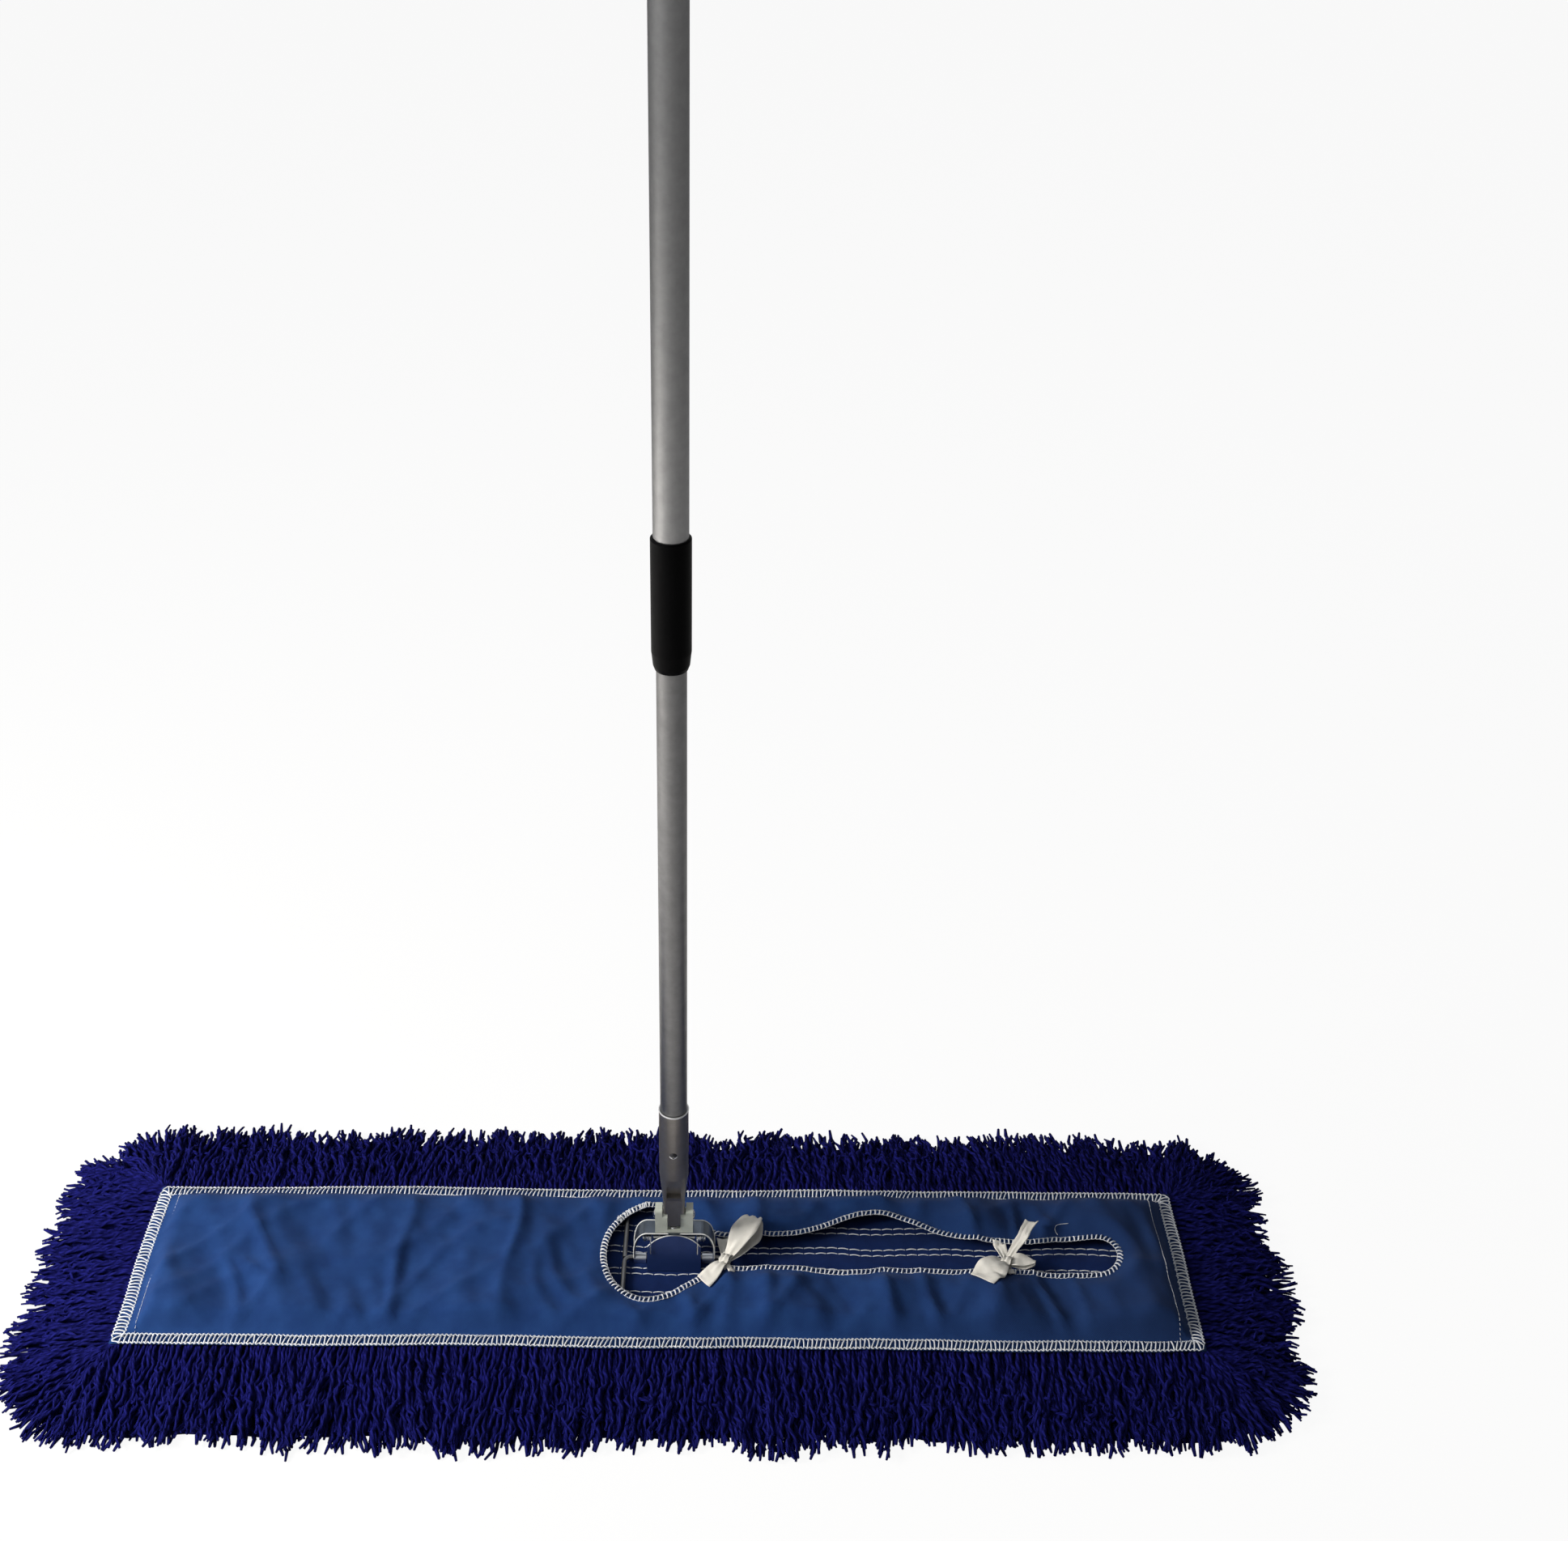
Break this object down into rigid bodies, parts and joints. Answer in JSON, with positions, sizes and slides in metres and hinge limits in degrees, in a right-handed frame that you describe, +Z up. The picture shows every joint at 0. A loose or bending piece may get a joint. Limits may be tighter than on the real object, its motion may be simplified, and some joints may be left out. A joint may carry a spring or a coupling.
{
  "type": "dust mop",
  "caption": "Wide floor dust mop: fringed yarn head over a wire frame, with a sprung swivel clip and a twist-lock telescopic handle.",
  "frame": {"origin": "on the floor under the middle of the canvas", "axes": "+X along the head's length, to the right of a user who stands behind the handle; +Y away from the user; +Z up along the upright handle"},
  "size_m": [1.08, 0.36, 1.4579],
  "materials": {
    "yarn": "dyed cotton yarn, matt",
    "canvas": "woven canvas, slight sheen",
    "base_cloth": "woven cloth, matt",
    "tape": "woven cotton tape, matt",
    "frame_wire": "zinc-plated steel wire",
    "zinc_sheet": "zinc-plated sheet, bright",
    "bright_steel": "plated steel, bright",
    "spring_wire": "bright spring steel",
    "chrome_plate": "chrome plate, polished",
    "cast_zinc": "die-cast zinc, pale satin",
    "socket_steel": "formed steel, satin",
    "tube": "anodised aluminium, satin",
    "black_plastic": "moulded plastic, satin black",
    "core_plastic": "moulded nylon, dark",
    "collar_plastic": "moulded nylon, natural"
  },
  "bodies": {
    "head": {"yarn_pile": "yarn", "fringe_near": "yarn", "fringe_far": "yarn", "fringe_left": "yarn", "fringe_right": "yarn", "base_cloth": "base_cloth", "canvas_backing": "canvas", "tie_bow_inner": "tape", "tie_bow_outer": "tape", "wire_frame": "frame_wire", "clip_bracket": "zinc_sheet", "clip_pin": "bright_steel", "clip_spring_left": "spring_wire", "clip_spring_right": "spring_wire", "swivel_washer": "zinc_sheet", "swivel_rivet": "bright_steel"},
    "flap": {"release_flap": "chrome_plate"},
    "yoke": {"swivel_yoke": "cast_zinc", "tilt_pin": "bright_steel"},
    "lower_handle": {"handle_socket": "socket_steel", "socket_screw": "bright_steel", "lower_tube": "tube", "lock_core": "core_plastic"},
    "lock": {"lock_collar": "collar_plastic"},
    "upper_handle": {"upper_tube": "tube", "joint_sleeve": "black_plastic", "hand_grip": "black_plastic", "end_cap": "black_plastic"}
  },
  "joints": [
    {"name": "clip_release", "type": "hinge", "parent": "head", "child": "flap", "pos_m": [0.007, 0.008, 0.04755], "axis": [-1, 0, 0], "range_deg": [0, 16], "stiffness_Nm_per_rad": 0.6, "springref_deg": -28.65, "deforming": ["clip_spring_left", "clip_spring_right"]},
    {"name": "swivel", "type": "hinge", "parent": "head", "child": "yoke", "pos_m": [0.007, 0.0115, 0.05495], "axis": [0, 0, 1], "continuous": true},
    {"name": "handle_tilt", "type": "hinge", "parent": "yoke", "child": "lower_handle", "pos_m": [0.007, 0.0115, 0.07095], "axis": [1, 0, 0], "range_deg": [-88, 88]},
    {"name": "lock_twist", "type": "hinge", "parent": "lower_handle", "child": "lock", "pos_m": [0.007, 0.0115, 0.92805], "axis": [0, 0, 1], "range_deg": [0, 90]},
    {"name": "telescope", "type": "slide", "parent": "lock", "child": "upper_handle", "axis": [0, 0, 1], "range_m": [-0.4, 0.2]}
  ]
}
